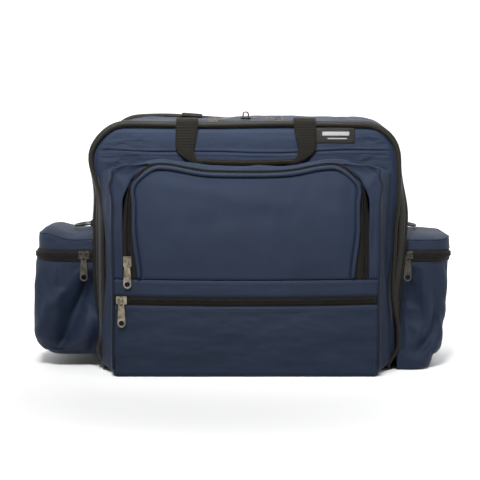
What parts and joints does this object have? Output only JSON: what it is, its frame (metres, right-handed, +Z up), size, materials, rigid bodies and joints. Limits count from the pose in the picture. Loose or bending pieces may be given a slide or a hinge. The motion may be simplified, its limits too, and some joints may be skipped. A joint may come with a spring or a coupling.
{
  "type": "soft crew bag",
  "caption": "Soft-sided crew bag with a front that zips open, arched organizer pouch, zipped end pockets with lids, webbing handles, strap rings and a lock loop.",
  "frame": {"origin": "on the floor, under the middle of the main compartment", "axes": "+X across the bag to its right end as seen from the front, -Y out of the front, +Z up"},
  "size_m": [0.486, 0.213, 0.2959],
  "materials": {
    "navy_nylon": "matte woven nylon with a slight sheen",
    "black_webbing": "ribbed woven webbing",
    "black_piping": "matte covered cord",
    "zipper": "matte coil and tape",
    "nickel": "warm satin nickel",
    "dark_metal": "dark nickel",
    "board": "moulded stiffener",
    "lining": "thin coated lining",
    "label": "woven label with a plain pale bar"
  },
  "bodies": {
    "shell": {"base_panel": "navy_nylon", "side_panel_left": "navy_nylon", "side_panel_right": "navy_nylon", "top_panel": "navy_nylon", "rear_panel": "navy_nylon", "rear_piping": "black_piping", "rear_board": "board", "base_board": "board", "main_zipper": "zipper", "end_pocket_left": "navy_nylon", "end_pocket_right": "navy_nylon", "end_zipper_left": "zipper", "end_zipper_right": "zipper", "ring_tab_left": "black_webbing", "ring_tab_right": "black_webbing", "lock_tab": "black_webbing", "lock_loop": "dark_metal", "rear_handle_tabs": "black_webbing"},
    "front": {"front_panel": "navy_nylon", "front_board": "board", "front_piping": "black_piping", "front_tape": "zipper", "label": "label", "pouch_side_left": "navy_nylon", "pouch_side_right": "navy_nylon", "pouch_bottom": "navy_nylon", "pouch_top": "navy_nylon", "pouch_lower": "navy_nylon", "pouch_strip": "navy_nylon", "pocket_lining": "lining", "pouch_frame_left": "navy_nylon", "pouch_frame_right": "navy_nylon", "arch_zipper": "zipper", "pocket_zipper": "zipper", "front_handle_tabs": "black_webbing"},
    "flap": {"pocket_flap": "navy_nylon", "flap_piping": "navy_nylon"},
    "front_handle": {"front_handle_leg_left": "black_webbing", "front_handle_leg_right": "black_webbing", "front_handle_grip": "black_webbing"},
    "rear_handle": {"rear_handle_leg_left": "black_webbing", "rear_handle_leg_right": "black_webbing", "rear_handle_grip": "black_webbing"},
    "main_slider_left": {"main_slider_left": "nickel"},
    "main_slider_right": {"main_slider_right": "nickel"},
    "main_pull_left": {"main_pull_left": "nickel"},
    "main_pull_right": {"main_pull_right": "nickel"},
    "arch_slider": {"arch_slider": "nickel"},
    "arch_pull": {"arch_pull": "nickel"},
    "pocket_slider": {"pocket_slider": "nickel"},
    "pocket_pull": {"pocket_pull": "nickel"},
    "end_slider_left": {"end_slider_left": "dark_metal"},
    "end_slider_right": {"end_slider_right": "dark_metal"},
    "end_pull_left": {"end_pull_left": "dark_metal"},
    "end_pull_right": {"end_pull_right": "dark_metal"},
    "lid_left": {"end_lid_left": "navy_nylon"},
    "lid_right": {"end_lid_right": "navy_nylon"},
    "ring_left": {"d_ring_left": "dark_metal"},
    "ring_right": {"d_ring_right": "dark_metal"}
  },
  "joints": [
    {"name": "front_opening", "type": "hinge", "parent": "shell", "child": "front", "pos_m": [0, -0.075, 0], "axis": [1, 0, 0], "range_deg": [0, 90]},
    {"name": "flap_opening", "type": "hinge", "parent": "front", "child": "flap", "pos_m": [0, -0.12125, 0.11025], "axis": [1, 0, 0], "range_deg": [0, 100]},
    {"name": "front_handle_swing", "type": "hinge", "parent": "front", "child": "front_handle", "pos_m": [0, -0.07895, 0.2863], "axis": [-1, 0, 0], "range_deg": [0, 165]},
    {"name": "rear_handle_swing", "type": "hinge", "parent": "shell", "child": "rear_handle", "pos_m": [0, 0.07385, 0.2863], "axis": [1, 0, 0], "range_deg": [0, 165]},
    {"name": "main_slide_left", "type": "slide", "parent": "shell", "child": "main_slider_left", "axis": [-1, 0, 0], "range_m": [0, 0.085]},
    {"name": "main_slide_right", "type": "slide", "parent": "shell", "child": "main_slider_right", "axis": [1, 0, 0], "range_m": [0, 0.085]},
    {"name": "arch_slide", "type": "slide", "parent": "front", "child": "arch_slider", "axis": [0, 0, 1], "range_m": [0, 0.055]},
    {"name": "pocket_slide", "type": "slide", "parent": "front", "child": "pocket_slider", "axis": [1, 0, 0], "range_m": [0, 0.2772]},
    {"name": "end_slide_left", "type": "slide", "parent": "shell", "child": "end_slider_left", "axis": [-1, 0, 0], "range_m": [0, 0.024]},
    {"name": "end_slide_right", "type": "slide", "parent": "shell", "child": "end_slider_right", "axis": [1, 0, 0], "range_m": [0, 0.024]},
    {"name": "main_pull_swing_left", "type": "hinge", "parent": "main_slider_left", "child": "main_pull_left", "pos_m": [-0.0363, -0.069, 0.2868], "axis": [0, -1, 0], "range_deg": [0, 100]},
    {"name": "main_pull_swing_right", "type": "hinge", "parent": "main_slider_right", "child": "main_pull_right", "pos_m": [0.0363, -0.069, 0.2868], "axis": [0, 1, 0], "range_deg": [0, 100]},
    {"name": "arch_pull_swing", "type": "hinge", "parent": "arch_slider", "child": "arch_pull", "pos_m": [-0.1317, -0.1238, 0.1283], "axis": [-1, 0, 0], "range_deg": [0, 110]},
    {"name": "pocket_pull_swing", "type": "hinge", "parent": "pocket_slider", "child": "pocket_pull", "pos_m": [-0.1386, -0.1238, 0.0848], "axis": [-1, 0, 0], "range_deg": [0, 110]},
    {"name": "end_pull_swing_left", "type": "hinge", "parent": "end_slider_left", "child": "end_pull_left", "pos_m": [-0.186, -0.07055, 0.1298], "axis": [-1, 0, 0], "range_deg": [0, 110]},
    {"name": "end_pull_swing_right", "type": "hinge", "parent": "end_slider_right", "child": "end_pull_right", "pos_m": [0.186, -0.07055, 0.1298], "axis": [-1, 0, 0], "range_deg": [0, 110]},
    {"name": "lid_opening_left", "type": "hinge", "parent": "shell", "child": "lid_left", "pos_m": [-0.182, 0, 0.163], "axis": [0, -1, 0], "range_deg": [-80, 0]},
    {"name": "lid_opening_right", "type": "hinge", "parent": "shell", "child": "lid_right", "pos_m": [0.182, 0, 0.163], "axis": [0, 1, 0], "range_deg": [-80, 0]},
    {"name": "ring_swing_left", "type": "hinge", "parent": "lid_left", "child": "ring_left", "pos_m": [-0.182, 0, 0.163], "axis": [0, 1, 0], "range_deg": [0, 85]},
    {"name": "ring_swing_right", "type": "hinge", "parent": "lid_right", "child": "ring_right", "pos_m": [0.182, 0, 0.163], "axis": [0, -1, 0], "range_deg": [0, 85]}
  ]
}
